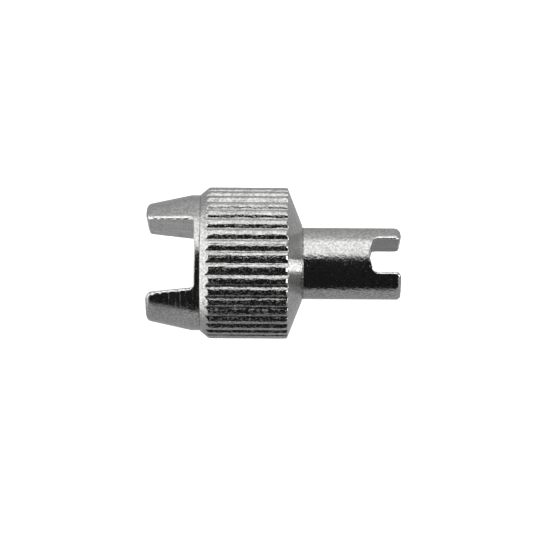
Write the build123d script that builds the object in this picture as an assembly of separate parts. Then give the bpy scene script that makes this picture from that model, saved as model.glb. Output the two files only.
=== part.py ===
from build123d import *

import math
import os

# Two-ended slotted key. It lies along X: a tapered two-prong fork at the -X end, a
# knurled grip in the middle and a slotted nose at the +X end. The origin is on the
# axis, halfway along the tool. Lengths are in millimetres, angles in degrees.

# Whole tool, and its stations measured from the fork's tips.
overall_length = 16.8
fork_slot_depth = 3.15
prong_length = 2.97
fork_collar_end = 3.55
front_chamfer_end = 4.15
knurl_end = 9.3
shoulder_end = 10.3

# Fork: a cone cut by a flared slot that leaves two prongs, a collar behind them and
# a spigot that is pressed into the grip.
prong_tip_radius = 3.84
collar_radius = 4.48
prong_corner_radius = 0.3
fork_slot_floor_width = 4.45
fork_slot_mouth_width = 4.81
fork_slot_floor_dip = 0.06
spigot_radius = 3.1
spigot_length = 2.6
lead_chamfer = 0.3

# Grip: a sleeve with a straight knurl of V grooves between a front chamfer and a
# steep cone shoulder, bored through for the nose's stem and counterbored for the fork.
grip_radius = 5.0
grip_face_radius = 4.52
shoulder_foot_radius = 2.47
knurl_tooth_count = 39
knurl_depth = 0.24
knurl_groove_angle = 100.0

# Nose: a round rod that stands on the grip's cone by its shoulder, with a stem pressed
# through the grip and a slot across its end. The slot has a shallow V floor, sits a
# little off the axis and is clocked a few degrees from the fork's slot.
nose_radius = 2.37
nose_stem_radius = 2.0
nose_corner_radius = 0.34
nose_slot_width = 2.23
nose_slot_wall_depth = 1.82
nose_slot_floor_slope = 17.0
nose_slot_offset = 0.15
nose_slot_clocking = -3.5

# Cutting tools run past the surface that they leave by this much.
overrun = 1.0

fork_end_x = -overall_length / 2
nose_end_x = overall_length / 2
collar_start_x = fork_end_x + prong_length
fork_floor_x = fork_end_x + fork_slot_depth
grip_face_x = fork_end_x + fork_collar_end
chamfer_end_x = fork_end_x + front_chamfer_end
knurl_end_x = fork_end_x + knurl_end
shoulder_end_x = fork_end_x + shoulder_end
spigot_end_x = grip_face_x + spigot_length
nose_slot_wall_x = nose_end_x - nose_slot_wall_depth


def turned(*edges):
    """Solid of revolution about X from the edges of a closed half profile."""
    profile = Plane.XZ * make_face(Curve() + list(edges))
    return revolve(profile, axis=Axis.X)


def slot_cutter(mouth_x, wall_x, floor_x, mouth_width, floor_width, reach):
    """Prism along Z that cuts a flared slot with a V floor, open past its mouth."""
    flare = (mouth_width - floor_width) / 2 / (mouth_x - wall_x)
    outer_x = mouth_x + math.copysign(overrun, mouth_x - wall_x)
    outer_half = mouth_width / 2 + flare * (outer_x - mouth_x)
    floor_half = floor_width / 2
    outline = Polyline(
        (outer_x, outer_half),
        (wall_x, floor_half),
        (floor_x, 0),
        (wall_x, -floor_half),
        (outer_x, -outer_half),
        close=True,
    )
    return extrude(make_face(outline), amount=reach, both=True)


def knurl_prism():
    """Toothed bar along X: crests on the grip's radius, V grooves from +Z round."""
    pitch = 2 * math.pi / knurl_tooth_count
    groove_half = knurl_depth * math.tan(math.radians(knurl_groove_angle / 2)) / grip_radius
    edges = []
    for tooth in range(knurl_tooth_count):
        groove = math.pi / 2 + tooth * pitch
        root = polar(grip_radius - knurl_depth, groove)
        crest_start = polar(grip_radius, groove + groove_half)
        crest_middle = polar(grip_radius, groove + pitch / 2)
        crest_end = polar(grip_radius, groove + pitch - groove_half)
        next_root = polar(grip_radius - knurl_depth, groove + pitch)
        edges.append(Line(root, crest_start))
        edges.append(ThreePointArc(crest_start, crest_middle, crest_end))
        edges.append(Line(crest_end, next_root))
    outline = make_face(Curve() + edges)
    return extrude(Plane.YZ * outline, amount=overall_length, both=True)


def polar(radius, angle):
    """Point at a radius and an angle in radians."""
    return (radius * math.cos(angle), radius * math.sin(angle))


def fork_tip():
    """Two tapered prongs, the collar that carries them and the pressed spigot."""
    corner_x = fork_end_x + prong_corner_radius
    taper = math.atan2(collar_radius - prong_tip_radius, prong_length)
    sweep = math.pi / 2 - taper
    round_centre_r = prong_tip_radius - prong_corner_radius * math.tan(sweep / 2)
    round_start = (fork_end_x, round_centre_r)
    round_middle = (
        corner_x - prong_corner_radius * math.cos(sweep / 2),
        round_centre_r + prong_corner_radius * math.sin(sweep / 2),
    )
    round_end = (
        corner_x - prong_corner_radius * math.cos(sweep),
        round_centre_r + prong_corner_radius * math.sin(sweep),
    )
    body = turned(
        Line((fork_end_x, 0), round_start),
        ThreePointArc(round_start, round_middle, round_end),
        Polyline(
            round_end,
            (collar_start_x, collar_radius),
            (grip_face_x, collar_radius),
            (grip_face_x, spigot_radius),
            (spigot_end_x - lead_chamfer, spigot_radius),
            (spigot_end_x, spigot_radius - lead_chamfer),
            (spigot_end_x, 0),
            (fork_end_x, 0),
        ),
    )
    slot = slot_cutter(
        mouth_x=fork_end_x,
        wall_x=fork_floor_x,
        floor_x=fork_floor_x + fork_slot_floor_dip,
        mouth_width=fork_slot_mouth_width,
        floor_width=fork_slot_floor_width,
        reach=grip_radius,
    )
    return body - slot


def knurled_grip():
    """Sleeve with the knurl, its front chamfer, its cone shoulder and its bores."""
    chamfer_slope = (grip_radius - grip_face_radius) / (chamfer_end_x - grip_face_x)
    shoulder_slope = (grip_radius - shoulder_foot_radius) / (shoulder_end_x - knurl_end_x)
    blank_radius = grip_radius + knurl_depth
    blank = turned(
        Polyline(
            (grip_face_x, spigot_radius),
            (grip_face_x, grip_face_radius),
            (chamfer_end_x + knurl_depth / chamfer_slope, blank_radius),
            (knurl_end_x - knurl_depth / shoulder_slope, blank_radius),
            (shoulder_end_x, shoulder_foot_radius),
            (shoulder_end_x, nose_stem_radius),
            (spigot_end_x, nose_stem_radius),
            (spigot_end_x, spigot_radius),
            close=True,
        )
    )
    return blank & knurl_prism()


def slotted_nose():
    """Round rod, slotted at its end, with a stem that reaches the fork's spigot."""
    corner_x = nose_end_x - nose_corner_radius
    corner_r = nose_radius - nose_corner_radius
    half_turn = nose_corner_radius * math.sqrt(0.5)
    body = turned(
        Polyline(
            (nose_end_x, corner_r),
            (nose_end_x, 0),
            (spigot_end_x, 0),
            (spigot_end_x, nose_stem_radius - lead_chamfer),
            (spigot_end_x + lead_chamfer, nose_stem_radius),
            (shoulder_end_x, nose_stem_radius),
            (shoulder_end_x, nose_radius),
            (corner_x, nose_radius),
        ),
        ThreePointArc(
            (corner_x, nose_radius),
            (corner_x + half_turn, corner_r + half_turn),
            (nose_end_x, corner_r),
        ),
    )
    floor_drop = nose_slot_width / 2 * math.tan(math.radians(nose_slot_floor_slope))
    slot = slot_cutter(
        mouth_x=nose_end_x,
        wall_x=nose_slot_wall_x,
        floor_x=nose_slot_wall_x - floor_drop,
        mouth_width=nose_slot_width,
        floor_width=nose_slot_width,
        reach=grip_radius,
    )
    placed_slot = Rot(X=nose_slot_clocking) * Pos(Y=nose_slot_offset) * slot
    return body - placed_slot


os.makedirs("parts", exist_ok=True)
nodes = {
    "fork_tip": fork_tip(),
    "knurled_grip": knurled_grip(),
    "slotted_nose": slotted_nose(),
}
for name, shape in nodes.items():
    export_step(shape, f"parts/{name}.step")
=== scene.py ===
"""Two-ended slotted key: the finished look of the tool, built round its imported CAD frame.

The tool lies along X: a tapered two-prong fork at -X, a straight-knurled grip in the middle and a
round slotted nose at +X. Shapes are worked out in millimetres and written in metres.
"""
import logging
import math
from dataclasses import dataclass
from enum import Enum
from typing import Callable

import bpy
import numpy as np
from mathutils import Matrix, Vector


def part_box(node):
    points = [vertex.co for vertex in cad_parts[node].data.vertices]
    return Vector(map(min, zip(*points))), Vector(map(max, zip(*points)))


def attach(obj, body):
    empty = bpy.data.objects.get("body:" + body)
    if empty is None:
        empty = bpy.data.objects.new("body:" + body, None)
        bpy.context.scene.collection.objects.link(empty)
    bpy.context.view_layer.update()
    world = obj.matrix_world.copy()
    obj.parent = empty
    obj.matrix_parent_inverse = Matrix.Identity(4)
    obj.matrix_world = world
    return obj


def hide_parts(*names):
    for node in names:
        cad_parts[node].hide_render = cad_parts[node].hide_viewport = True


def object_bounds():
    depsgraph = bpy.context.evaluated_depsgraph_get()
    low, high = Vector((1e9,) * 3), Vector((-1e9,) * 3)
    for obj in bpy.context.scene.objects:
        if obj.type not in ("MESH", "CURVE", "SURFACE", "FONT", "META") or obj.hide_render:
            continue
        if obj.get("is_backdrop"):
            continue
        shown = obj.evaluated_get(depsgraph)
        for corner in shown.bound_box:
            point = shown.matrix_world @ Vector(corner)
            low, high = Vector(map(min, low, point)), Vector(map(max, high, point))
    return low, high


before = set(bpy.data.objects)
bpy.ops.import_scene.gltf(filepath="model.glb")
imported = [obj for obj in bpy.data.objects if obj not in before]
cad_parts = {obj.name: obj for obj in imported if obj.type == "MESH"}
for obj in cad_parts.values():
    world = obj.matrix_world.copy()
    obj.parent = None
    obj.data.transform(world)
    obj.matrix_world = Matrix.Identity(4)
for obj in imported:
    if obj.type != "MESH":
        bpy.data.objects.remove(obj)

log = logging.getLogger("slotted_key")

MM = 0.001
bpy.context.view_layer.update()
Array = np.ndarray
Field = Callable[[Array], Array]


class Node(Enum):
    """The CAD nodes that the finished pieces stand for."""

    FORK = "fork_tip"
    GRIP = "knurled_grip"
    NOSE = "slotted_nose"


class Slot(Enum):
    """The record's material slots."""

    FORK = "fork_plating"
    GRIP = "grip_plating"
    NOSE = "nose_plating"


def node_box(node: Node) -> tuple[Array, Array]:
    """Lowest and highest corner of a CAD node, in millimetres."""
    low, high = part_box(node.value)
    return np.array(low) / MM, np.array(high) / MM


# ---------------------------------------------------------------------------------------------
# Numerical shapes
# ---------------------------------------------------------------------------------------------


def round_max(first: Array, second: Array, radius: Array | float, power: float = 2.0) -> Array:
    """Overlap of two solids given as distance fields, with the edge between them rounded.

    Inside the edge zone the skin is the curve a^power + b^power = 1, where a and b run from 0 to 1
    over the last `radius` before each face: a circle's arc for 2, a flatter broken edge below 2.
    Elsewhere the value is the larger of the two fields.

    Args:
        first: distance to the first solid's skin, negative inside.
        second: distance to the second solid's skin.
        radius: how far from the sharp edge the rounding starts.
        power: shape of the rounding.

    Returns:
        The distance field of the rounded overlap.
    """
    one = np.maximum(first / radius + 1.0, 0.0)
    two = np.maximum(second / radius + 1.0, 0.0)
    over = (one**power + two**power) ** (1.0 / power)
    return np.minimum(np.maximum(first, second), -radius) + radius * over


def gradient(points: Array, skin: Field, step: float = 1e-5) -> Array:
    """Slope of a distance field by central differences.

    Args:
        points: rows of x, y, z.
        skin: the distance field.
        step: half the distance between the two readings, in millimetres.

    Returns:
        One slope vector per point.
    """
    slopes = [
        (skin(points + step * axis) - skin(points - step * axis)) / (2 * step) for axis in np.eye(3)
    ]
    return np.stack(slopes, axis=1)


def settle(points: Array, skin: Field, steps: int = 5) -> Array:
    """Moves points onto a skin by Newton steps along the field's slope.

    Args:
        points: rows of x, y, z.
        skin: the distance field whose zero is the skin.
        steps: how many Newton steps to take.

    Returns:
        The moved points.
    """
    flattest = 0.05
    for _ in range(steps):
        slope = gradient(points, skin)
        size = np.maximum((slope**2).sum(axis=1), flattest)
        points = points - slope * (skin(points) / size)[:, None]
    return points


def unit(vectors: Array) -> Array:
    """Rows scaled to length one."""
    return vectors / np.maximum(np.linalg.norm(vectors, axis=1, keepdims=True), 1e-12)


def ripple(values: Array, shortest: float, longest: float, seed: int, waves: int) -> Array:
    """Smooth random wave along a length: a sum of sines of random wavelength and phase.

    Args:
        values: where to read the wave, in millimetres.
        shortest: shortest wavelength.
        longest: longest wavelength.
        seed: fixes the random draw.
        waves: how many sines are added.

    Returns:
        The wave, with a spread of about one.
    """
    draw = np.random.default_rng(seed)
    lengths = np.exp(draw.uniform(math.log(shortest), math.log(longest), waves))
    phases = draw.uniform(0.0, 2 * math.pi, waves)
    total = np.zeros_like(values, dtype=float)
    for length, phase in zip(lengths, phases):
        total += np.sin(2 * math.pi * values / length + phase)
    return total * math.sqrt(2.0 / waves)


def clustered(count: int, near: float, length: float) -> Array:
    """Steps from 0 to 1 along a length, closer together towards both of its ends.

    The steps follow a sine ease, mixed with even steps so that the first step is about `near`.

    Args:
        count: number of values.
        near: wanted spacing at the ends, in millimetres.
        length: the length that 0 to 1 stands for.

    Returns:
        The values, rising from 0 to 1.
    """
    even = np.linspace(0.0, 1.0, count)
    eased = 0.5 - 0.5 * np.cos(math.pi * even)
    mix = float(np.clip(near * (count - 1) / length, 0.0, 1.0))
    return mix * even + (1.0 - mix) * eased


def evened(grid: Array, share: Array, closed: bool) -> Array:
    """Moves each point of a grid part of the way to the middle of its four neighbours.

    The first and last rows stay, and so do the first and last points of rows that are not closed.

    Args:
        grid: points as rows x columns x 3.
        share: how much of the way each point moves, rows x columns.
        closed: the rows are rings.

    Returns:
        The moved grid.
    """
    middle = (np.roll(grid, 1, axis=1) + np.roll(grid, -1, axis=1)) / 4
    middle[1:-1] += (grid[2:] + grid[:-2]) / 4
    moves = share[..., None] * (middle - grid)
    moves[[0, -1]] = 0.0
    if not closed:
        moves[:, [0, -1]] = 0.0
    return grid + moves


def grid_faces(rows: Array, closed: bool) -> Array:
    """Quads between neighbouring rows of vertex numbers.

    Args:
        rows: vertex numbers, one row per line of the grid.
        closed: joins each row's last vertex back to its first.

    Returns:
        Rows of four vertex numbers.
    """
    following = np.roll(rows, -1, axis=1)
    quads = np.stack([rows[:-1], following[:-1], following[1:], rows[1:]], axis=-1)
    if not closed:
        quads = quads[:, :-1]
    return quads.reshape(-1, 4)


def signed_volume(points: Array, faces: list[Array]) -> float:
    """Volume inside closed faces, as a sum of tetrahedra from the origin.

    Args:
        points: the vertices.
        faces: blocks of faces, each block with one number of corners.

    Returns:
        The volume, positive if the faces point outwards.
    """
    total = 0.0
    for block in faces:
        for corner in range(1, block.shape[1] - 1):
            a, b, c = points[block[:, 0]], points[block[:, corner]], points[block[:, corner + 1]]
            total += float(np.einsum("ij,ij->i", a, np.cross(b, c)).sum()) / 6.0
    return total


def make_mesh(name: str, points: Array, faces: list[Array], marks: dict[str, Array]) -> bpy.types.Object:
    """Writes a closed surface as a smooth-shaded object at the origin.

    Args:
        name: the object's name.
        points: vertices in millimetres.
        faces: blocks of faces, each block with one number of corners.
        marks: named values per vertex for the finish.

    Returns:
        The new object, linked to the scene.
    """
    if signed_volume(points, faces) < 0:
        faces = [block[:, ::-1] for block in faces]
    mesh = bpy.data.meshes.new(name)
    mesh.vertices.add(len(points))
    mesh.vertices.foreach_set("co", (points * MM).astype(np.float32).ravel())
    sizes = np.concatenate([np.full(len(block), block.shape[1]) for block in faces])
    corners = np.concatenate([block.ravel() for block in faces])
    mesh.loops.add(len(corners))
    mesh.loops.foreach_set("vertex_index", corners.astype(np.int32))
    mesh.polygons.add(len(sizes))
    starts = np.concatenate([[0], np.cumsum(sizes)[:-1]])
    mesh.polygons.foreach_set("loop_start", starts.astype(np.int32))
    mesh.polygons.foreach_set("use_smooth", np.ones(len(sizes), dtype=bool))
    mesh.update(calc_edges=True)
    mesh.validate()
    for title, values in marks.items():
        layer = mesh.attributes.new(title, "FLOAT", "POINT")
        layer.data.foreach_set("value", values.astype(np.float32))
    piece = bpy.data.objects.new(name, mesh)
    bpy.context.scene.collection.objects.link(piece)
    log.info("%s: %d vertices, %d faces", name, len(points), len(sizes))
    return piece


@dataclass(frozen=True)
class EndSlot:
    """A slot across the end of a round bar, open towards +X, with straight or flared walls.

    Widths and depths are in millimetres and measured from the bar's end face. The floor falls from
    the foot of both walls to a line in the middle.
    """

    wall_depth: float
    mouth_width: float
    floor_width: float
    floor_slope: float
    offset: float = 0.0
    clocking: float = 0.0
    foot_radius: float = 0.08
    ridge_radius: float = 0.06
    floor_points: int = 34
    wall_points: int = 64

    def turned(self, points: Array, backwards: bool = False) -> Array:
        """Turns points about X into the slot's own axes, or back out of them.

        Args:
            points: rows of x, y, z.
            backwards: turn out of the slot's axes.

        Returns:
            The turned points.
        """
        angle = math.radians(-self.clocking if backwards else self.clocking)
        cos, sin = math.cos(angle), math.sin(angle)
        x, y, z = points.T
        return np.stack([x, y * cos + z * sin, z * cos - y * sin], axis=1)

    def skin(self, points: Array, end: float) -> Array:
        """Distance field of the space that the slot takes, negative inside it.

        Two leaning walls and a floor that falls to its middle, with the foot of each wall and the
        line in the middle of the floor rounded.

        Args:
            points: rows of x, y, z.
            end: x of the bar's end face.

        Returns:
            One distance per point.
        """
        x, y, _ = self.turned(points).T
        across = y - self.offset
        foot = end - self.wall_depth
        flare = (self.mouth_width - self.floor_width) / 2 / self.wall_depth
        half = self.floor_width / 2 + flare * (x - foot)
        wall = (np.abs(across) - half) / math.hypot(1.0, flare)
        slope = math.tan(math.radians(self.floor_slope))
        ridge = np.hypot(across, self.ridge_radius)
        floor = (foot - slope * (self.floor_width / 2 - ridge) - x) / math.hypot(1.0, slope)
        return round_max(wall, floor, self.foot_radius)

    def outline(self, end: float, near: float) -> tuple[Array, Array]:
        """The slot's section from one lip, down its wall, over the floor and up to the other lip.

        Args:
            end: x of the bar's end face.
            near: spacing of points at the corners.

        Returns:
            x and y of the points, y in the slot's own axes.
        """
        foot = end - self.wall_depth
        drop = math.tan(math.radians(self.floor_slope)) * self.floor_width / 2
        corners = [
            (end, self.mouth_width / 2),
            (foot, self.floor_width / 2),
            (foot - drop, 0.0),
            (foot, -self.floor_width / 2),
            (end, -self.mouth_width / 2),
        ]
        counts = [self.wall_points, self.floor_points, self.floor_points, self.wall_points]
        xs, ys = [np.array([corners[0][0]])], [np.array([corners[0][1]])]
        for (x0, y0), (x1, y1), count in zip(corners, corners[1:], counts):
            steps = clustered(count, near, math.hypot(x1 - x0, y1 - y0))[1:]
            xs.append(x0 + (x1 - x0) * steps)
            ys.append(y0 + (y1 - y0) * steps)
        return np.concatenate(xs), np.concatenate(ys) + self.offset


@dataclass(frozen=True)
class SlottedBar:
    """A round bar along +X whose end is cut by a slot, with every edge rounded.

    The skin is two sheets that share one closed edge line. The slot's sheet is the slot's section
    carried across the bar. The bar's sheet runs in rows from that edge line, first as lines that
    keep their distance from it and then along the bar's meridians down to the foot ring, and on
    through the hidden stem to its end.

    The broken edges of the slot are `edge_radius` wide, wander by `wander` of that, are wider by
    `end_wear` of it at the end face and keep `floor_share` of it along the floor. `worn_side` is
    the sign of the Y side whose edges lie over towards the bar's outside. `evening` is how far the
    grids are evened there in each of `even_rounds` rounds.
    """

    slot: EndSlot
    length: float
    foot_radius: float
    end_radius: float
    taper_length: float
    corner_radius: float
    edge_radius: float
    worn_side: float
    stem: tuple[tuple[float, float], ...]
    seed: int
    edge_power: float = 1.45
    corner_spread: float = 0.0
    wander: float = 0.08
    wander_lengths: tuple[float, float] = (0.3, 2.4)
    wander_waves: int = 14
    floor_share: float = 0.3
    end_wear: float = 0.5
    evening: float = 0.7
    chord_points: int = 88
    meridian_rows: int = 44
    even_rounds: int = 14
    edge_rows: tuple[float, ...] = (0.02, 0.045, 0.073, 0.105, 0.142, 0.185, 0.24, 0.31, 0.39)

    def slope(self) -> float:
        """Fall of the bar's radius along its taper."""
        return (self.foot_radius - self.end_radius) / self.taper_length

    def bar_skin(self, points: Array) -> Array:
        """Distance field of the bar before it is slotted: a cylinder, a cone and a flat end.

        The corner at the end is rounder towards +Y by `corner_spread` and sharper towards -Y.

        Args:
            points: rows of x, y, z.

        Returns:
            One distance per point.
        """
        x, y, z = points.T
        across = np.hypot(y, z)
        slope = self.slope()
        cone = (across - self.end_radius - slope * (self.length - x)) / math.hypot(1.0, slope)
        side = np.maximum(across - self.foot_radius, cone)
        least = 0.5
        corner = self.corner_radius * (1.0 + self.corner_spread * y / np.maximum(across, least))
        return round_max(side, x - self.length, corner)

    def slot_skin(self, points: Array) -> Array:
        """Distance field of the slot's space."""
        return self.slot.skin(points, self.length)

    def edge_width(self, points: Array) -> Array:
        """Width of the slot's broken edges, which wanders, grows to the end and is small below.

        The wander is a random wave read along each edge, offset so that no two edges are alike.
        The width rises by a smooth step just over the floor and by an exponential at the end face.

        Args:
            points: rows of x, y, z.

        Returns:
            One width per point.
        """
        x, y, z = points.T
        along = x + 0.8 * z + 2.3 * np.sign(y) + 1.7 * np.sign(z)
        wave = np.tanh(ripple(along, *self.wander_lengths, self.seed, self.wander_waves))
        rise = self.above_floor(x, 0.25)
        share = self.floor_share + (1.0 - self.floor_share) * rise * rise * (3.0 - 2.0 * rise)
        end_length = 0.35
        wear = self.end_wear * np.exp((x - self.length) / end_length)
        return self.edge_radius * share * (1.0 + self.wander * wave + wear)

    def above_floor(self, x: Array, length: float) -> Array:
        """Rises from 0 at the foot of the slot's walls to 1 over a length towards the end."""
        return np.clip((x - self.length + self.slot.wall_depth) / length, 0.0, 1.0)

    def lean(self, points: Array) -> Array:
        """How far the broken edge lies over towards the bar's outside: 1 evenly, 2 mostly."""
        return 1.5 + 0.5 * np.tanh(2.0 * self.worn_side * points[:, 1])

    def skin(self, points: Array) -> Array:
        """Distance field of the finished bar: the bar less the slot, with broken edges."""
        bar = self.bar_skin(points) * self.lean(points)
        return round_max(bar, -self.slot_skin(points), self.edge_width(points), self.edge_power)

    def slot_sheet(self) -> Array:
        """Points of the slot's sheet: its section carried across the bar, from -Z to +Z.

        Each line across reaches as far as the bar does there: the half width is the root of the
        bar's radius squared less the line's height squared.

        Returns:
            Points as an array of section x width x 3.
        """
        near = self.edge_rows[0]
        x, y = self.slot.outline(self.length, near)
        radius = np.minimum(self.foot_radius, self.end_radius + self.slope() * (self.length - x))
        reach = np.sqrt(np.maximum(radius**2 - y**2, 0.0))
        inset = np.array([0.0, *self.edge_rows])
        first_step = 0.06
        inner = clustered(self.chord_points - 2 * len(self.edge_rows), first_step, 2 * reach.mean())
        span = (reach - inset[-1])[:, None] * (2 * inner - 1)[None, :]
        left = -(reach[:, None] - inset[None, :-1])
        sheet_z = np.concatenate([left, span, -left[:, ::-1]], axis=1)
        count = sheet_z.shape[1]
        flat = np.stack([np.repeat(x, count), np.repeat(y, count), sheet_z.ravel()], axis=1)
        return self.slot.turned(flat, backwards=True).reshape(len(x), count, 3)

    def meridian(self) -> tuple[Array, Array, Array]:
        """The bar's half section from its foot to the axis at its end, with the corner rounded.

        Returns:
            x, radius and length along the section.
        """
        side_x = np.linspace(0, self.length, 400)
        end_radii = np.linspace(self.end_radius, 0.0, 200)
        x = np.concatenate([side_x, np.full_like(end_radii, self.length)])
        side = np.minimum(self.foot_radius, self.end_radius + self.slope() * (self.length - side_x))
        radius = np.concatenate([side, end_radii])
        flat = settle(np.stack([x, radius, 0 * x], axis=1), self.bar_skin)
        steps = np.hypot(np.diff(flat[:, 0]), np.diff(flat[:, 1]))
        return flat[:, 0], flat[:, 1], np.concatenate([[0.0], np.cumsum(steps)])

    def bar_rows(self, edge: Array) -> Array:
        """Points of the bar's sheet, row by row from the slot's edge line to the foot ring.

        A row near the edge is the edge line moved along the bar's skin, straight away from the
        slot. The other rows go evenly, in length along the meridian and in angle, to the ring.

        Args:
            edge: the closed edge line.

        Returns:
            Points as an array of rows x edge points x 3, without the edge line itself.
        """
        normal = unit(gradient(edge, self.bar_skin))
        away = gradient(edge, self.slot_skin)
        away = unit(away - (away * normal).sum(axis=1, keepdims=True) * normal)
        rows = [settle(edge + width * away, self.bar_skin) for width in self.edge_rows]
        last = rows[-1]
        x_line, radius_line, length_line = self.meridian()
        key = last[:, 0] - np.hypot(last[:, 1], last[:, 2])
        start = np.interp(key, x_line - radius_line, length_line)
        turn = np.unwrap(np.arctan2(last[:, 2], last[:, 1]))
        ring = self.ring_angles(edge, turn)
        for share in np.linspace(0.0, 1.0, self.meridian_rows + 1)[1:]:
            along = start * (1.0 - share)
            angle = turn + (ring - turn) * share
            radius = np.interp(along, length_line, radius_line)
            x = np.interp(along, length_line, x_line)
            rows.append(np.stack([x, radius * np.cos(angle), radius * np.sin(angle)], axis=1))
        return np.stack(rows)

    def ring_angles(self, edge: Array, turn: Array) -> Array:
        """Angles at the foot ring: even along each prong's edge, straight under the slot's floor.

        Args:
            edge: the closed edge line.
            turn: angle of each point of the last edge row.

        Returns:
            One angle per edge point, rising or falling steadily round the ring.
        """
        tiny = 1e-6
        on_prong = edge[:, 0] > self.length - self.slot.wall_depth - tiny
        steps = np.linalg.norm(np.roll(edge, -1, axis=0) - edge, axis=1)
        travelled = np.concatenate([[0.0], np.cumsum(steps)[:-1]])
        knots = np.flatnonzero(on_prong != np.roll(on_prong, 1))
        ring = turn.copy()
        order = np.arange(len(edge))
        for first, second in zip(knots, np.roll(knots, -1)):
            if not on_prong[first]:
                continue
            span = np.roll(order, -first)[: (second - first) % len(edge)]
            wrapped = span < first
            lap = np.where(wrapped, turn[-1] - turn[0], 0.0)
            path = travelled[span] + np.where(wrapped, travelled[-1] + steps[-1], 0.0)
            angles = turn[span] + lap
            share = (path - path[0]) / (path[-1] - path[0])
            ring[span] = angles[0] + (angles[-1] - angles[0]) * share - lap
        return ring

    def build(self) -> tuple[Array, list[Array]]:
        """Joins both sheets, the stem's rings and the end pole into one closed skin.

        Returns:
            Points in millimetres with the foot at x = 0, and the blocks of faces.
        """
        sheet = self.slot_sheet()
        rows, columns = sheet.shape[:2]
        numbers = np.arange(rows * columns).reshape(rows, columns)
        edge_numbers = np.concatenate(
            [numbers[:, -1], numbers[-1, -2::-1], numbers[-2::-1, 0], numbers[0, 1:-1]]
        )
        points = sheet.reshape(-1, 3)
        edge = points[edge_numbers]
        for _ in range(4):
            edge = settle(edge, self.bar_skin, 1)
            edge = settle(edge, self.slot_skin, 1)
        bar = self.bar_rows(edge)
        ring = bar[-1]
        angle = np.arctan2(ring[:, 2], ring[:, 1])
        stem = [
            np.stack([np.full_like(angle, x), radius * np.cos(angle), radius * np.sin(angle)], axis=1)
            for x, radius in self.stem
        ]
        skin_points = self.settled(np.concatenate([points, bar.reshape(-1, 3)]), numbers, edge_numbers)
        skin_points[-len(ring):] = ring
        pole = np.array([[self.stem[-1][0], 0.0, 0.0]])
        every = np.concatenate([skin_points, *stem, pole])
        lines = len(points) + np.arange((len(bar) + len(stem)) * len(edge)).reshape(-1, len(edge))
        strips = np.concatenate([edge_numbers[None, :], lines])
        last = strips[-1]
        fan = np.stack([last, np.roll(last, -1), np.full_like(last, len(every) - 1)], axis=1)
        faces = [grid_faces(numbers, False)[:, ::-1], grid_faces(strips, True), fan]
        return every, faces

    def settled(self, points: Array, numbers: Array, edge: Array) -> Array:
        """Settles both sheets onto the skin, and evens their grids where the edges are broken.

        Args:
            points: the slot's sheet, then the rows of the bar's sheet.
            numbers: numbers of the slot's sheet's points, as its grid.
            edge: numbers of the points on the edge line.

        Returns:
            The points on the skin.
        """
        lines = numbers.size + np.arange(len(points) - numbers.size).reshape(-1, len(edge))
        rings = np.concatenate([edge[None, :], lines])
        points = settle(points, self.skin)
        for _ in range(self.even_rounds):
            worn = self.evening * self.near_edge(points)
            for grid, closed in ((numbers, False), (rings, True)):
                points[grid] = evened(points[grid], worn[grid], closed)
            points = settle(points, self.skin, 2)
        return points

    def near_edge(self, points: Array) -> Array:
        """One on the slot's edges, fading to none over the width of the broken edge."""
        far = np.maximum(np.abs(self.slot_skin(points)), np.abs(self.bar_skin(points)))
        return np.exp(-((far / self.edge_radius) ** 2))

    def marks(self, points: Array) -> dict[str, Array]:
        """Values per point for the finish.

        Args:
            points: the bar's own points.

        Returns:
            The rubbed-edge value, one on the slot's edges and fading away from them, which marks smoother
            plate and a painted highlight; `cut`, one inside the slot and none outside, which marks painted
            shade on the slot's faces; and `grained`, the reverse of that.
        """
        depth = np.abs(self.bar_skin(points)) - np.abs(self.slot_skin(points))
        fade = 0.1
        cut = np.clip(depth / fade - 1.0, 0.0, 1.0)
        rise = self.above_floor(points[:, 0], 0.3)
        # The edge value carries rubbed plate and a painted highlight; `cut` carries painted shade on the
        # slot's faces.
        return {"polish_and_highlight": rise * self.near_edge(points), "cut": cut, "grained": 1.0 - cut}


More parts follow.
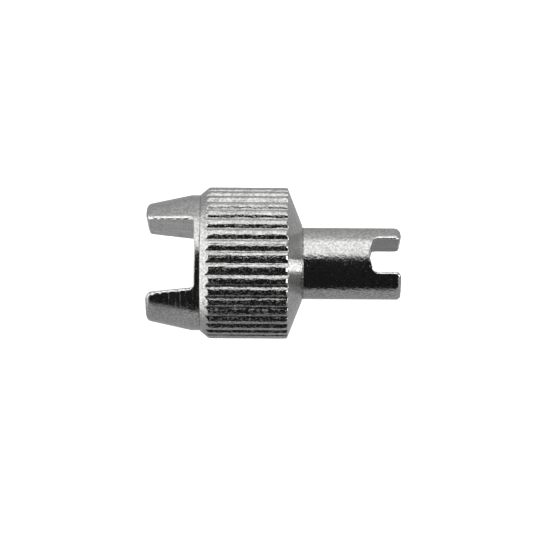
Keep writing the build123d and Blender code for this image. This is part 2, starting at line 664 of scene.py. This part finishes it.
@dataclass(frozen=True)
class KnurledSleeve:
    """A sleeve with straight V grooves, a front chamfer, a steep cone at its back and its bores.

    The skin is a closed section carried round X: at each angle the outer part of the section is
    held down by the tooth that stands there. The crests sway along X by sines, each given as its
    height, its wavelength and its shift from tooth to tooth. `face_insets` and `land_insets` are
    the section's stations on the front face and the back land, measured from their outer radius.
    """

    face_x: float
    chamfer_x: float
    knurl_x: float
    foot_x: float
    face_radius: float
    crest_radius: float
    foot_radius: float
    bore_radius: float
    socket_radius: float
    socket_x: float
    teeth: int
    depth: float
    groove_angle: float
    crest_round: float = 0.09
    root_round: float = 0.05
    end_round: float = 0.05
    sways: tuple[tuple[float, float, float], ...] = ((0.012, 1.7, 0.37), (0.008, 0.62, 0.71))
    columns_per_tooth: int = 24
    face_insets: tuple[float, ...] = (-0.6, -0.3, -0.12, -0.06, 0.0)
    chamfer_rows: int = 22
    knurl_rows: int = 30
    cone_shares: tuple[float, ...] = (
        0.02, 0.04, 0.06, 0.08, 0.1, 0.12, 0.14, 0.17, 0.21, 0.26, 0.33, 0.42, 0.52, 0.63,
        0.74, 0.84, 0.91, 0.95, 0.975, 1.0,
    )
    land_insets: tuple[float, ...] = (-0.02, -0.05, -0.1)

    def profile_skin(self, points: Array) -> Array:
        """Distance field of the plain sleeve's ends: front face, chamfer, cone and back land.

        Args:
            points: rows of x, y, z.

        Returns:
            One distance per point.
        """
        x, y, z = points.T
        across = np.hypot(y, z)
        front = (self.crest_radius - self.face_radius) / (self.chamfer_x - self.face_x)
        chamfer = (across - self.face_radius - front * (x - self.face_x)) / math.hypot(1.0, front)
        back = (self.crest_radius - self.foot_radius) / (self.foot_x - self.knurl_x)
        cone = (across - self.foot_radius - back * (self.foot_x - x)) / math.hypot(1.0, back)
        front_end = round_max(self.face_x - x, chamfer, self.end_round)
        back_end = round_max(x - self.foot_x, cone, self.end_round)
        return np.maximum(front_end, back_end)

    def tooth_skin(self, points: Array) -> Array:
        """Distance field of the toothed bar: crests on a cylinder, straight flanks between them.

        Folding the angle round X into half a pitch leaves one flank, a line through the groove's
        bottom that leans out by half the groove's angle. The groove's bottom is rounded by a
        hyperbola, and the crests sway a little along X.

        Args:
            points: rows of x, y, z.

        Returns:
            One distance per point.
        """
        x, y, z = points.T
        across = np.hypot(y, z)
        pitch = 2 * math.pi / self.teeth
        turn = np.arctan2(z, y) - math.pi / 2
        tooth = np.floor(turn / pitch)
        middle = (tooth + 0.5) * pitch
        sway = sum(
            height * np.sin(2 * math.pi * (x / length + tooth * shift))
            for height, length, shift in self.sways
        )
        side = (turn - middle) * across + sway
        half = math.radians(self.groove_angle / 2)
        root = self.crest_radius - self.depth
        width = pitch / 2 * root
        bend = width - np.hypot(width - np.abs(side), self.root_round)
        flank = (bend - width) * math.cos(half) + (across - root) * math.sin(half)
        return round_max(flank, across - self.crest_radius, self.crest_round)

    def skin(self, points: Array) -> Array:
        """Distance field of the knurled sleeve, the overlap of the plain sleeve and the teeth."""
        return round_max(self.profile_skin(points), self.tooth_skin(points), self.end_round)

    def section(self) -> Array:
        """The closed section: outer stations from the front face to the back land, then the bores.

        Returns:
            Rows of x, radius and one for the outer part that the teeth hold down.
        """
        face = self.face_radius + np.array(self.face_insets)
        land = self.foot_radius + np.array(self.land_insets)
        cone = np.array(self.cone_shares)
        x = np.concatenate([
            np.full_like(face, self.face_x),
            np.linspace(self.face_x, self.chamfer_x, self.chamfer_rows)[1:],
            np.linspace(self.chamfer_x, self.knurl_x, self.knurl_rows)[1:],
            self.knurl_x + (self.foot_x - self.knurl_x) * cone,
            np.full_like(land, self.foot_x),
        ])
        rise = np.interp(
            x,
            [self.face_x, self.chamfer_x, self.knurl_x, self.foot_x],
            [self.face_radius, self.crest_radius, self.crest_radius, self.foot_radius],
        )
        rise[:len(face)] = face
        rise[-len(land):] = land
        outer = np.stack([x, rise, np.ones_like(x)], axis=1)
        bores = [
            (self.foot_x, self.bore_radius, 0.0),
            (self.socket_x, self.bore_radius, 0.0),
            (self.socket_x, self.socket_radius, 0.0),
            (self.face_x, self.socket_radius, 0.0),
        ]
        return np.concatenate([outer, np.array(bores)])

    def build(self) -> tuple[Array, list[Array]]:
        """Carries the section round X and settles its outer part onto the knurled skin.

        Returns:
            Points in millimetres and the blocks of faces.
        """
        columns = self.teeth * self.columns_per_tooth
        angle = 2 * math.pi * np.arange(columns) / columns + math.pi / 2
        section = self.section()
        pitch = 2 * math.pi / self.teeth
        fold = np.abs((angle - math.pi / 2) / pitch % 1.0 - 0.5) * pitch
        half = math.radians(self.groove_angle / 2)
        groove = self.crest_radius - self.depth + (pitch / 2 - fold) * self.crest_radius / math.tan(half)
        limit = np.minimum(groove, self.crest_radius)
        x = np.repeat(section[:, :1], columns, axis=1)
        radius = np.repeat(section[:, 1:2], columns, axis=1)
        held = section[:, 2] > 0
        radius[held] = np.minimum(radius[held], limit[None, :])
        grid = np.stack([x, radius * np.cos(angle), radius * np.sin(angle)], axis=-1)
        outer = settle(grid[held].reshape(-1, 3), self.skin)
        grid[held] = outer.reshape(-1, columns, 3)
        numbers = np.arange(grid.shape[0] * columns).reshape(-1, columns)
        rows = np.concatenate([numbers, numbers[:1]])
        return grid.reshape(-1, 3), [grid_faces(rows, True)]

    def marks(self, points: Array) -> dict[str, Array]:
        """Values per point for the finish.

        Args:
            points: the sleeve's points.

        Returns:
            `polish_and_highlight`, one on the crests and none in the grooves, and `grained`, one on the knurl
            and none on the turned ends.
        """
        across = np.hypot(points[:, 1], points[:, 2])
        rubbed_share = 0.7
        fade = 0.3
        low = self.crest_radius - rubbed_share * self.depth
        inside = np.minimum(points[:, 0] - self.face_x, self.knurl_x - points[:, 0])
        return {
            "polish_and_highlight": np.clip((across - low) / (self.crest_radius - low), 0.0, 1.0),
            "grained": np.clip(inside / fade, 0.0, 1.0),
        }


# ---------------------------------------------------------------------------------------------
# Finishes
# ---------------------------------------------------------------------------------------------


class Pattern(Enum):
    """Noise patterns in the plate: cells per metre along X, Y and Z, then detail and roughness."""

    STAINS = ((900.0, 900.0, 900.0), 3.0, 0.6)
    PITS = ((8000.0, 8000.0, 8000.0), 1.0, 0.5)
    GRAIN = ((6000.0, 6000.0, 6000.0), 1.5, 0.6)
    FLECKS = ((6500.0, 6500.0, 6500.0), 1.0, 0.5)
    SPOTS = ((5500.0, 7500.0, 7500.0), 1.5, 0.6)
    TOOL_MARKS = ((2300.0, 6500.0, 6500.0), 2.0, 0.6)
    CUTTER_LINES = ((150.0, 2000.0, 6500.0), 2.0, 0.6)
    LATHE_LINES = ((6500.0, 260.0, 260.0), 2.0, 0.7)


class NodeSheet:
    """A node tree with short calls for the nodes that the finishes and the sky use."""

    def __init__(self, tree: bpy.types.NodeTree) -> None:
        """Takes the tree to work in."""
        self.tree = tree

    def add(self, kind: str, inputs: dict[str | int, object], **settings: object) -> bpy.types.Node:
        """Adds a node, links or sets its inputs and sets its properties.

        Args:
            kind: the node's type name.
            inputs: socket name or number to a value or to another node's output.
            settings: the node's own properties.

        Returns:
            The new node.
        """
        node = self.tree.nodes.new(kind)
        for key, value in settings.items():
            setattr(node, key, value)
        for key, value in inputs.items():
            self.feed(node.inputs[key], value)
        return node

    def feed(self, socket: bpy.types.NodeSocket, value: object) -> None:
        """Links a socket to another node's output, or sets its own value.

        Args:
            socket: the input to fill.
            value: another node's output, or a plain value.
        """
        if isinstance(value, bpy.types.NodeSocket):
            self.tree.links.new(value, socket)
        else:
            socket.default_value = value

    def noise(self, pattern: Pattern) -> bpy.types.NodeSocket:
        """Fractal noise on Object coordinates.

        Args:
            pattern: which pattern to lay.

        Returns:
            The noise, from 0 to 1.
        """
        cells, detail, rough = pattern.value
        coords = self.add("ShaderNodeTexCoord", {})
        mapping = self.add("ShaderNodeMapping", {"Vector": coords.outputs["Object"], "Scale": cells})
        inputs = {"Vector": mapping.outputs["Vector"], "Scale": 1.0, "Detail": detail, "Roughness": rough}
        return self.add("ShaderNodeTexNoise", inputs).outputs["Fac"]

    def value(self, attribute: str) -> bpy.types.NodeSocket:
        """The mesh's own value of this name."""
        return self.add("ShaderNodeAttribute", {}, attribute_name=attribute).outputs["Fac"]

    def ramp(self, value: object, low: float, high: float, start: float, end: float) -> bpy.types.NodeSocket:
        """Smooth step from one value to another.

        Args:
            value: what is read.
            low: the reading up to which the result is `start`.
            high: the reading from which the result is `end`.
            start: result at and below `low`.
            end: result at and above `high`.

        Returns:
            The stepped value.
        """
        inputs = {"Value": value, "From Min": low, "From Max": high, "To Min": start, "To Max": end}
        node = self.add("ShaderNodeMapRange", inputs, interpolation_type="SMOOTHSTEP")
        return node.outputs["Result"]

    def maths(self, operation: str, *values: object) -> bpy.types.NodeSocket:
        """One arithmetic step on two or three values."""
        return self.add("ShaderNodeMath", dict(enumerate(values)), operation=operation).outputs["Value"]

    def bump(self, height: object, distance: float, below: object = None) -> bpy.types.NodeSocket:
        """Surface relief of a real height.

        Args:
            height: 0 to 1, how high the surface stands.
            distance: what 1 stands for, in metres.
            below: another relief to lay this one over.

        Returns:
            The bent normal.
        """
        inputs = {"Height": height, "Distance": distance, "Strength": 1.0}
        if below is not None:
            inputs["Normal"] = below
        return self.add("ShaderNodeBump", inputs).outputs["Normal"]


@dataclass(frozen=True)
class NickelPlate:
    """Bright nickel plate over turned steel.

    The plate shows the grain of the metal under it, small pits and faint stains, and is smoother where
    handling has rubbed it. Its colour also carries painted light: painted shade on the slot's faces and
    a painted highlight on the slot's edges. Heights are in metres: `grain` is that of the fine grain,
    `coarse` that of the tool marks on the knurl. `speckle`, `streaks` and `pit_dullness` are added
    roughness in spots, lathe lines and pits. `painted_slot_shade` multiplies the colour on the slot's faces
    as painted shade, with streaks through it, and `painted_edge_highlight` multiplies it on the slot's edges
    as a painted highlight. Where the mesh's `grained` is 0, only `turned_share` of the relief is left.
    """

    name: str
    colour: tuple[float, float, float] = (0.57, 0.57, 0.565)
    roughness: float = 0.11
    grain: float = 0.000004
    speckle: float = 0.05
    streaks: float = 0.0
    # Painted shade: colour multiplier on the slot's faces, with streaks through it.
    painted_slot_shade: float = 1.0
    # Painted highlight: colour multiplier on the slot's edges.
    painted_edge_highlight: float = 1.0
    coarse: float = 0.0
    pit_depth: float = 0.000004
    pit_dullness: float = 0.15
    turned_share: float = 0.25

    def material(self) -> bpy.types.Material:
        """Builds the material.

        Returns:
            The finished material.
        """
        material = bpy.data.materials.new(self.name)
        material.use_nodes = True
        sheet = NodeSheet(material.node_tree)
        shader = sheet.tree.nodes["Principled BSDF"]
        shader.inputs["Metallic"].default_value = 1.0
        stain = sheet.noise(Pattern.STAINS)
        pits = sheet.ramp(sheet.noise(Pattern.PITS), 0.68, 0.76, 0.0, 1.0)
        sheet.feed(shader.inputs["Base Color"], self.tint(sheet, stain))
        sheet.feed(shader.inputs["Roughness"], self.dullness(sheet, stain, pits))
        grained = sheet.ramp(sheet.value("grained"), 0.0, 1.0, self.turned_share, 1.0)
        fine = sheet.maths("MULTIPLY", sheet.noise(Pattern.GRAIN), grained)
        relief = sheet.bump(pits, -self.pit_depth, sheet.bump(fine, self.grain))
        if self.coarse:
            tooled = sheet.maths("MULTIPLY", sheet.noise(Pattern.TOOL_MARKS), grained)
            relief = sheet.bump(tooled, self.coarse, relief)
        sheet.feed(shader.inputs["Normal"], relief)
        return material

    def tint(self, sheet: NodeSheet, stain: bpy.types.NodeSocket) -> bpy.types.NodeSocket:
        """Plate colour, flecked, a little darker in the stains, with a painted highlight on the slot's
        edges and painted shade on the slot's faces.

        Args:
            sheet: the material's nodes.
            stain: 0 to 1, where the stains are.

        Returns:
            The colour.
        """
        shade = sheet.ramp(stain, 0.3, 0.75, 1.0, 0.88)
        flecks = sheet.ramp(sheet.noise(Pattern.FLECKS), 0.3, 0.7, 0.78, 1.18)
        # Painted highlight: the colour is made brighter on the slot's edges.
        highlight_gain = sheet.ramp(sheet.value("polish_and_highlight"), 0.35, 0.85, 1.0, self.painted_edge_highlight)
        shade = sheet.maths("MULTIPLY", sheet.maths("MULTIPLY", shade, flecks), highlight_gain)
        # Painted shade: the colour is made darker on the slot's faces, with streaks from the noise.
        if self.painted_slot_shade < 1.0:
            lines = sheet.noise(Pattern.CUTTER_LINES)
            slot_shade_streaks = sheet.ramp(lines, 0.4, 0.65, 0.8 * self.painted_slot_shade, 1.3 * self.painted_slot_shade)
            drop = sheet.maths("MULTIPLY", sheet.value("cut"), sheet.maths("SUBTRACT", slot_shade_streaks, 1.0))
            shade = sheet.maths("MULTIPLY", shade, sheet.maths("ADD", drop, 1.0))
        scaled = {0: self.colour, "Scale": shade}
        return sheet.add("ShaderNodeVectorMath", scaled, operation="SCALE").outputs["Vector"]

    def dullness(
        self, sheet: NodeSheet, stain: bpy.types.NodeSocket, pits: bpy.types.NodeSocket
    ) -> bpy.types.NodeSocket:
        """Roughness: more in stains, pits and the lathe's streaks, less where the plate is rubbed.

        Args:
            sheet: the material's nodes.
            stain: 0 to 1, where the stains are.
            pits: 0 to 1, where the pits are.

        Returns:
            The roughness.
        """
        rough = sheet.ramp(stain, 0.3, 0.8, self.roughness, self.roughness * 1.6)
        rough = sheet.maths("MULTIPLY", rough, sheet.ramp(sheet.value("polish_and_highlight"), 0.2, 1.0, 1.0, 0.75))
        rough = sheet.maths("MULTIPLY_ADD", pits, self.pit_dullness, rough)
        spots = sheet.ramp(sheet.noise(Pattern.SPOTS), 0.45, 0.62, 0.0, self.speckle)
        rough = sheet.maths("MULTIPLY_ADD", spots, sheet.value("grained"), rough)
        if self.streaks:
            lines = sheet.ramp(sheet.noise(Pattern.LATHE_LINES), 0.5, 0.72, 0.0, 1.0)
            rough = sheet.maths("MULTIPLY_ADD", lines, self.streaks, rough)
        return rough


# ---------------------------------------------------------------------------------------------
# The tool
# ---------------------------------------------------------------------------------------------


@dataclass
class Piece:
    """One finished piece: the CAD node it stands for, its shape, its place and its finish."""

    node: Node
    slot: Slot
    finish: NickelPlate

    def dress(self, piece: bpy.types.Object) -> None:
        """Gives a piece its plate and its place in the frame.

        Args:
            piece: the piece's object.
        """
        piece.data.materials.append(self.finish.material())
        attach(piece, "root")
        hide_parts(self.node.value)


@dataclass
class ForkTip(Piece):
    """The tapered fork: two prongs, the collar that carries them and the pressed spigot."""

    prong_length: float = 2.97
    prong_tip_radius: float = 3.84
    slot_shape: EndSlot = EndSlot(
        wall_depth=3.15, mouth_width=4.81, floor_width=4.45, floor_slope=1.5
    )
    spigot_radius: float = 3.1
    lead: float = 0.3
    corner_radius: float = 0.3
    edge_radius: float = 0.24

    def build(self, grip_face_x: float) -> None:
        """Builds the fork as a slotted bar and turns it half round Z, to open towards -X.

        Args:
            grip_face_x: x of the grip's front face, where the collar ends.
        """
        low, high = node_box(self.node)
        length = grip_face_x - low[0]
        spigot = high[0] - grip_face_x
        bar = SlottedBar(
            slot=self.slot_shape,
            length=length,
            foot_radius=high[1],
            end_radius=self.prong_tip_radius,
            taper_length=self.prong_length,
            corner_radius=self.corner_radius,
            edge_radius=self.edge_radius,
            worn_side=-1.0,
            stem=(
                (0.0, self.spigot_radius),
                (self.lead - spigot, self.spigot_radius),
                (-spigot, self.spigot_radius - self.lead),
            ),
            seed=11,
        )
        points, faces = bar.build()
        placed = points * np.array([-1.0, -1.0, 1.0]) + np.array([grip_face_x, 0.0, 0.0])
        self.dress(make_mesh("prong_fork", placed, faces, bar.marks(points)))


@dataclass
class SlottedNose(Piece):
    """The round nose with a slot across its end, and the stem that holds it in the grip."""

    slot_shape: EndSlot = EndSlot(
        wall_depth=1.82, mouth_width=2.23, floor_width=2.23, floor_slope=17.0, offset=0.15, clocking=-3.5
    )
    stem_radius: float = 2.0
    lead: float = 0.3
    corner_radius: float = 0.34
    corner_spread: float = 0.28
    edge_radius: float = 0.19

    def build(self, shoulder_x: float) -> None:
        """Builds the nose as a slotted bar that stands on the grip's cone.

        Args:
            shoulder_x: x of the grip's back land, where the nose starts.
        """
        low, high = node_box(self.node)
        length = high[0] - shoulder_x
        stem = shoulder_x - low[0]
        bar = SlottedBar(
            slot=self.slot_shape,
            length=length,
            foot_radius=high[1],
            end_radius=high[1],
            taper_length=length,
            corner_radius=self.corner_radius,
            edge_radius=self.edge_radius,
            worn_side=1.0,
            corner_spread=self.corner_spread,
            stem=(
                (0.0, self.stem_radius),
                (self.lead - stem, self.stem_radius),
                (-stem, self.stem_radius - self.lead),
            ),
            seed=23,
        )
        points, faces = bar.build()
        placed = points + np.array([shoulder_x, 0.0, 0.0])
        self.dress(make_mesh("end_nose", placed, faces, bar.marks(points)))


@dataclass
class Grip(Piece):
    """The knurled sleeve between the fork and the nose."""

    chamfer_length: float = 0.6
    shoulder_length: float = 1.0
    face_radius: float = 4.52
    foot_radius: float = 2.47
    teeth: int = 39
    depth: float = 0.22
    groove_angle: float = 82.0

    def build(self, stem_radius: float, spigot_radius: float, spigot_end_x: float) -> None:
        """Builds the sleeve between its box's ends.

        Args:
            stem_radius: radius of the through bore.
            spigot_radius: radius of the front socket.
            spigot_end_x: x of the socket's floor.
        """
        low, high = node_box(self.node)
        sleeve = KnurledSleeve(
            face_x=low[0],
            chamfer_x=low[0] + self.chamfer_length,
            knurl_x=high[0] - self.shoulder_length,
            foot_x=high[0],
            face_radius=self.face_radius,
            crest_radius=round(high[1], 2),
            foot_radius=self.foot_radius,
            bore_radius=stem_radius,
            socket_radius=spigot_radius,
            socket_x=spigot_end_x,
            teeth=self.teeth,
            depth=self.depth,
            groove_angle=self.groove_angle,
        )
        points, faces = sleeve.build()
        self.dress(make_mesh("knurled_barrel", points, faces, sleeve.marks(points)))


# ---------------------------------------------------------------------------------------------
# Studio
# ---------------------------------------------------------------------------------------------


@dataclass(frozen=True)
class Lamp:
    """A soft-edged bright box of directions, square to the camera.

    Each range is of the direction's part along one camera axis: to the right, up the view and
    towards the camera.
    """

    right: tuple[float, float]
    up: tuple[float, float]
    near: tuple[float, float]
    strength: float
    soft: float = 0.05


@dataclass
class Studio:
    """Plain pale floor, soft light that stands square to the camera, and the camera.

    The light round the tool's axis is a ring of values by angle from the camera, positive up the
    view: a dark band that holds the camera, a large soft box behind the tool and pale paper
    below. Lamps stand at both ends of the tool. The view's width counts tool lengths, and the aim
    counts view widths from the tool's middle.
    """

    floor_shade: float = 0.9
    floor_roughness: float = 0.9
    floor_glow: float = 0.75
    floor_half: float = 1.2
    floor_gap: float = 0.00001
    camera_tilt: float = 9.2
    camera_roll: float = 0.4
    distance: float = 0.2186
    sensor: float = 36.0
    view_width: float = 2.103
    aim_left: float = 0.0133
    aim_down: float = 0.0062
    clip: tuple[float, float] = (0.01, 3.0)
    ring: tuple[tuple[float, float], ...] = (
        (-180.0, 0.42),
        (-150.0, 0.38),
        (-95.0, 0.40),
        (-89.0, 0.015),
        (14.0, 0.015),
        (21.0, 0.25),
        (28.0, 1.2),
        (36.0, 1.45),
        (79.0, 1.45),
        (83.0, 0.82),
        (90.0, 0.70),
        (110.0, 0.57),
        (140.0, 0.44),
        (180.0, 0.42),
    )
    ends: float = 0.42
    ring_reach: float = 0.6
    ring_soft: float = 0.04
    lamps: tuple[Lamp, ...] = (
        Lamp(right=(-2.0, -0.66), up=(-0.62, 0.6), near=(-0.45, 0.7), strength=1.15, soft=0.3),
        Lamp(right=(0.6, 2.0), up=(-0.42, 0.13), near=(0.1, 0.9), strength=3.2),
    )

    def build(self) -> None:
        """Builds floor, sky and camera, and sets how bright values show."""
        scene = bpy.context.scene
        scene.view_settings.view_transform = "Standard"
        self.build_floor()
        self.build_sky(scene)
        self.build_camera(scene)

    def axes(self) -> tuple[Vector, Vector, Vector]:
        """The camera's axes, tilted about X and then rolled about the line of sight.

        Returns:
            The directions right, up the view, and back towards the camera.
        """
        tilt = math.radians(self.camera_tilt)
        back = Vector((0.0, -math.sin(tilt), math.cos(tilt)))
        right = Matrix.Rotation(math.radians(self.camera_roll), 3, back) @ Vector((1.0, 0.0, 0.0))
        return right, back.cross(right), back

    def build_floor(self) -> None:
        """A wide flat sheet under the tool's lowest point."""
        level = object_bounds()[0].z - self.floor_gap
        half = self.floor_half
        mesh = bpy.data.meshes.new("floor")
        corners = [(-half, -half, level), (half, -half, level), (half, half, level), (-half, half, level)]
        mesh.from_pydata(corners, [], [(0, 1, 2, 3)])
        floor = bpy.data.objects.new("floor", mesh)
        floor.visible_glossy = False
        bpy.context.scene.collection.objects.link(floor)
        paper = bpy.data.materials.new("floor_paper")
        paper.use_nodes = True
        shader = paper.node_tree.nodes["Principled BSDF"]
        shader.inputs["Base Color"].default_value = (self.floor_shade,) * 3 + (1.0,)
        shader.inputs["Roughness"].default_value = self.floor_roughness
        shader.inputs["Specular IOR Level"].default_value = 0.0
        shader.inputs["Emission Color"].default_value = (1.0, 1.0, 1.0, 1.0)
        shader.inputs["Emission Strength"].default_value = self.floor_glow
        floor.data.materials.append(paper)
        floor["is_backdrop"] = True

    def build_sky(self, scene: bpy.types.Scene) -> None:
        """Builds the light all round: the ring of values, then the lamps at both ends.

        Args:
            scene: the scene that gets the sky.
        """
        world = bpy.data.worlds.new("studio_sky")
        scene.world = world
        world.use_nodes = True
        sheet = NodeSheet(world.node_tree)
        coords = sheet.add("ShaderNodeTexCoord", {}).outputs["Generated"]
        right, up, near = (
            sheet.add("ShaderNodeVectorMath", {0: coords, 1: axis}, operation="DOT_PRODUCT").outputs["Value"]
            for axis in self.axes()
        )
        turn = sheet.maths("ARCTAN2", up, near)
        share = sheet.maths("MULTIPLY_ADD", turn, 0.5 / math.pi, 0.5)
        ramp = sheet.add("ShaderNodeValToRGB", {"Fac": share})
        stops = ramp.color_ramp.elements
        peak = max(value for _, value in self.ring)
        while len(stops) < len(self.ring):
            stops.new(1.0)
        for stop, (angle, value) in zip(stops, self.ring):
            stop.position = angle / 360.0 + 0.5
            stop.color = (value / peak,) * 3 + (1.0,)
        round_axis = sheet.maths("MULTIPLY", ramp.outputs["Color"], peak)
        inner, outer = self.ring_reach - self.ring_soft, self.ring_reach + self.ring_soft
        inside = sheet.ramp(sheet.maths("ABSOLUTE", right), inner, outer, 1.0, 0.0)
        above_ends = sheet.maths("SUBTRACT", round_axis, self.ends)
        light = sheet.maths("MULTIPLY_ADD", above_ends, inside, self.ends)
        for lamp in self.lamps:
            patch = 1.0
            for part, (low, high) in ((right, lamp.right), (up, lamp.up), (near, lamp.near)):
                for edge, sign in ((low, 1.0), (high, -1.0)):
                    half = sign * lamp.soft / 2
                    side = sheet.ramp(part, edge - half, edge + half, 0.0, 1.0)
                    patch = sheet.maths("MULTIPLY", patch, side)
            light = sheet.maths("ADD", light, sheet.maths("MULTIPLY", patch, lamp.strength))
        background = world.node_tree.nodes["Background"]
        sheet.feed(background.inputs["Color"], (1.0, 1.0, 1.0, 1.0))
        sheet.feed(background.inputs["Strength"], light)

    def build_camera(self, scene: bpy.types.Scene) -> None:
        """Places the camera over the tool, a little towards -Y, with a small roll.

        The lens makes the view about twice as wide as the tool is long.

        Args:
            scene: the scene that gets the camera.
        """
        low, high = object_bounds()
        centre = (low + high) / 2
        right, up, back = self.axes()
        data = bpy.data.cameras.new("camera")
        camera = bpy.data.objects.new("camera", data)
        scene.collection.objects.link(camera)
        view_width = self.view_width * (high.x - low.x)
        data.sensor_width = self.sensor
        data.lens = self.sensor * self.distance / view_width
        data.clip_start, data.clip_end = self.clip
        middle = centre - view_width * (self.aim_left * right + self.aim_down * up)
        turn = Matrix((right, up, back)).transposed()
        camera.matrix_world = Matrix.Translation(middle + back * self.distance) @ turn.to_4x4()
        scene.camera = camera


def main() -> None:
    """Builds the studio and the three pieces in order, and reports each."""
    logging.basicConfig(level=logging.INFO, format="%(name)s: %(message)s")
    Studio().build()
    grip_low, grip_high = node_box(Node.GRIP)
    _, fork_high = node_box(Node.FORK)
    # Fork plate: a painted highlight on the slot's edges and faint painted shade with streaks on its faces.
    fork_plate = NickelPlate("fork_plate", grain=0.000008, streaks=0.2, painted_slot_shade=0.9, painted_edge_highlight=1.45)
    fork = ForkTip(Node.FORK, Slot.FORK, fork_plate)
    fork.build(grip_low[0])
    # Nose plate: a painted highlight on the slot's edges and strong painted shade on its faces.
    nose_plate = NickelPlate("nose_plate", grain=0.000017, painted_slot_shade=0.4, painted_edge_highlight=1.45)
    nose = SlottedNose(Node.NOSE, Slot.NOSE, nose_plate)
    nose.build(grip_high[0])
    grip_plate = NickelPlate("grip_plate", grain=0.000010, coarse=0.00004, speckle=0.30)
    grip = Grip(Node.GRIP, Slot.GRIP, grip_plate)
    grip.build(nose.stem_radius, fork.spigot_radius, fork_high[0])


if __name__ == "__main__":
    main()
